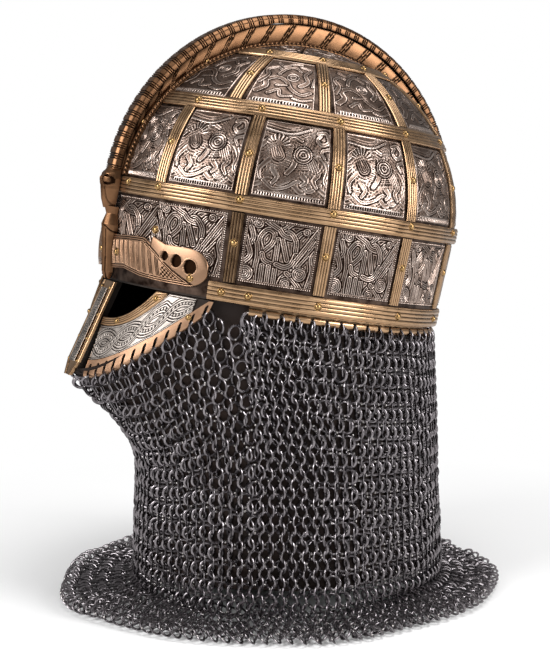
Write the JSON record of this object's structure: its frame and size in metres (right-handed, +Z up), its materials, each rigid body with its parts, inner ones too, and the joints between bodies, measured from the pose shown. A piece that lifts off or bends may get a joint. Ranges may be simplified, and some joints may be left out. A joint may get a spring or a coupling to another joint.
{
  "type": "crested helmet",
  "caption": "Riveted crested helmet with relief panels, brow guards, a face mask, a mail neck guard and a buckled chin strap on side rivets.",
  "frame": {"origin": "middle of the bounding box at the floor, under the hem of the mail", "axes": "+Z up, the face looks to -Y, the wearer's left is +X"},
  "size_m": [0.2822, 0.2976, 0.3867],
  "materials": {
    "bowl_steel": "plain dark sheet steel",
    "bronze": "antiqued bronze, dark in the grooves",
    "copper_bronze": "smooth reddish bronze",
    "silvered_relief": "silvered relief, dark in the recesses",
    "black_iron": "blackened iron",
    "mail_steel": "blackened flat ring mail",
    "leather": "dark brown vegetable tanned leather"
  },
  "bodies": {
    "helmet": {"brow_left": "bronze", "brow_right": "bronze", "brow_rivets": "bronze", "cheek_panel_left": "silvered_relief", "cheek_panel_right": "silvered_relief", "cheek_plate_left": "bowl_steel", "cheek_plate_right": "bowl_steel", "crest_body": "bronze", "crest_flange": "bronze", "crest_foot_left": "bronze", "crest_foot_right": "bronze", "crest_head": "bronze", "crest_rivets": "bronze", "crown_hoop_left": "bronze", "crown_hoop_right": "bronze", "crown_panels": "silvered_relief", "crown_straps": "leather", "eye_strip_left": "bronze", "eye_strip_right": "bronze", "face_rim_left": "copper_bronze", "face_rim_right": "copper_bronze", "face_rod_left": "copper_bronze", "face_rod_right": "copper_bronze", "forehead_ridge": "bronze", "hoop_rivets": "bronze", "liner_band": "leather", "liner_rivets": "bowl_steel", "lower_hoop": "bronze", "lower_panels": "silvered_relief", "lower_ribs": "bronze", "mail_backing": "leather", "mail_curtain": "mail_steel", "mask_rivets": "bronze", "middle_panels": "silvered_relief", "middle_ribs": "bronze", "neck_rim": "bronze", "neck_rod": "copper_bronze", "nose_bar": "bronze", "nose_inlay": "silvered_relief", "nose_spine": "black_iron", "rib_rivets": "bronze", "rim_band": "bronze", "rim_rivets": "bronze", "skull_bowl": "bowl_steel", "strap_rivets": "bronze", "upper_hoop_left": "bronze", "upper_hoop_right": "bronze", "upper_panels": "silvered_relief", "upper_ribs": "bronze"},
    "strap": {"strap_left": "leather", "strap_right": "leather", "strap_keeper": "leather", "buckle_frame": "bronze"},
    "tongue": {"buckle_tongue": "bronze"}
  },
  "joints": [
    {"name": "strap_swing", "type": "hinge", "parent": "helmet", "child": "strap", "pos_m": [0, -0.01364, 0.20797], "axis": [1, 0, 0], "range_deg": [-20, 45]},
    {"name": "tongue_lift", "type": "hinge", "parent": "strap", "child": "tongue", "pos_m": [0.06247, -0.01364, 0.12629], "axis": [0, -1, 0], "range_deg": [0, 90]}
  ]
}
